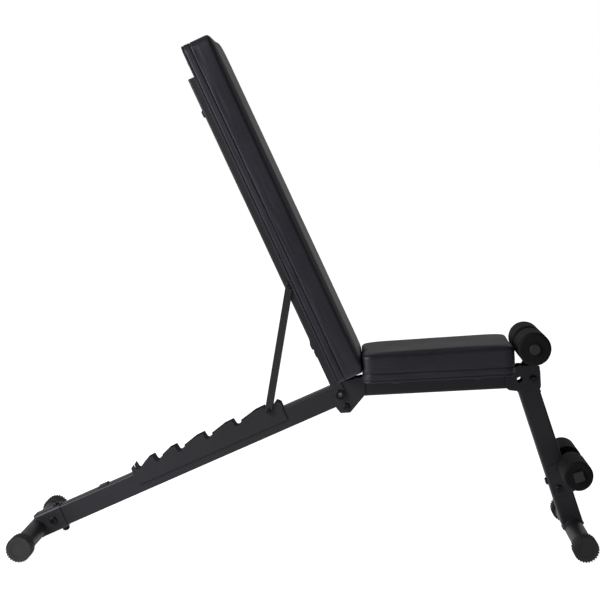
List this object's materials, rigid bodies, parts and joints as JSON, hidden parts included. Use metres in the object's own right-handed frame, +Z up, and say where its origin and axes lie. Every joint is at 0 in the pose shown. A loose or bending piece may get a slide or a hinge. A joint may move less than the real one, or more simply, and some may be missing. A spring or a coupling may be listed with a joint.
{
  "type": "adjustable weight bench",
  "caption": "Adjustable weight bench with a padded backrest propped by a strut on a toothed ladder, a tilted padded seat and foam leg rollers.",
  "frame": {"origin": "on the floor, at the middle of the bench's length and width", "axes": "+X from the rear foot towards the leg rollers, +Z up"},
  "size_m": [1.347, 0.472, 1.1997],
  "materials": {
    "frame_paint": "satin black powder coat",
    "fastener_black": "black oxide",
    "pin_steel": "dark plated",
    "cap_rubber": "matte black rubber",
    "pad_cover": "black grained vinyl",
    "board_wood": "raw plywood",
    "roller_foam": "matte black foam",
    "plug_plastic": "matte black plastic"
  },
  "bodies": {
    "frame": {"main_tube": "frame_paint", "rear_sleeve": "frame_paint", "rear_foot_tube": "frame_paint", "front_foot_tube": "frame_paint", "rear_foot_cap_right": "cap_rubber", "rear_foot_cap_left": "cap_rubber", "front_foot_cap_right": "cap_rubber", "front_foot_cap_left": "cap_rubber", "ladder_plate_right": "frame_paint", "ladder_plate_left": "frame_paint", "rest_block": "cap_rubber", "centre_plate_right": "frame_paint", "centre_plate_left": "frame_paint", "stop_bolt": "fastener_black", "stop_bolt_nut": "fastener_black", "stop_bolt_spacer": "fastener_black", "pivot_tube": "pin_steel", "pivot_washers": "pin_steel", "sleeve_bolts": "fastener_black", "sleeve_nuts": "fastener_black", "seat_rail": "frame_paint", "seat_straps": "frame_paint", "seat_board": "board_wood", "seat_pad": "pad_cover", "seat_screws": "fastener_black", "seat_rail_plug": "plug_plastic", "front_bracket": "frame_paint", "front_bolt": "fastener_black", "front_bolt_nut": "fastener_black", "front_leg": "frame_paint", "roller_holder": "frame_paint", "holder_bolts": "fastener_black", "holder_nuts": "fastener_black", "lower_roller_bar": "frame_paint", "lower_bar_plugs": "plug_plastic", "lower_foam_right": "roller_foam", "lower_foam_left": "roller_foam", "roller_post": "frame_paint", "post_gusset": "frame_paint", "upper_roller_tube": "frame_paint", "upper_tube_plugs": "plug_plastic"},
    "backrest": {"back_rail": "frame_paint", "back_rail_plugs": "plug_plastic", "back_ear_right": "frame_paint", "back_ear_left": "frame_paint", "back_board": "board_wood", "back_pad": "pad_cover", "back_pad_bolts": "fastener_black", "strut_bolt": "fastener_black", "strut_bolt_nut": "fastener_black"},
    "strut": {"strut_bar_right": "frame_paint", "strut_bar_left": "frame_paint", "strut_pin": "pin_steel", "strut_brace": "frame_paint"},
    "upper_roller_right": {"upper_foam_right": "roller_foam"},
    "upper_roller_left": {"upper_foam_left": "roller_foam"}
  },
  "joints": [
    {"name": "backrest_recline", "type": "hinge", "parent": "frame", "child": "backrest", "pos_m": [0.085, 0, 0.3545], "axis": [0, 1, 0], "range_deg": [-65, 0]},
    {"name": "strut_swing", "type": "hinge", "parent": "backrest", "child": "strut", "pos_m": [-0.03535, 0, 0.61615], "axis": [0, 1, 0], "range_deg": [0, 107]},
    {"name": "upper_roller_right_spin", "type": "hinge", "parent": "frame", "child": "upper_roller_right", "pos_m": [0.536, -0.07725, 0.474], "axis": [0, 1, 0], "continuous": true},
    {"name": "upper_roller_left_spin", "type": "hinge", "parent": "frame", "child": "upper_roller_left", "pos_m": [0.536, 0.07725, 0.474], "axis": [0, 1, 0], "continuous": true}
  ],
  "couplings": [
    {"joint": "strut_swing", "follows": "backrest_recline", "ratio": -1.64}
  ]
}
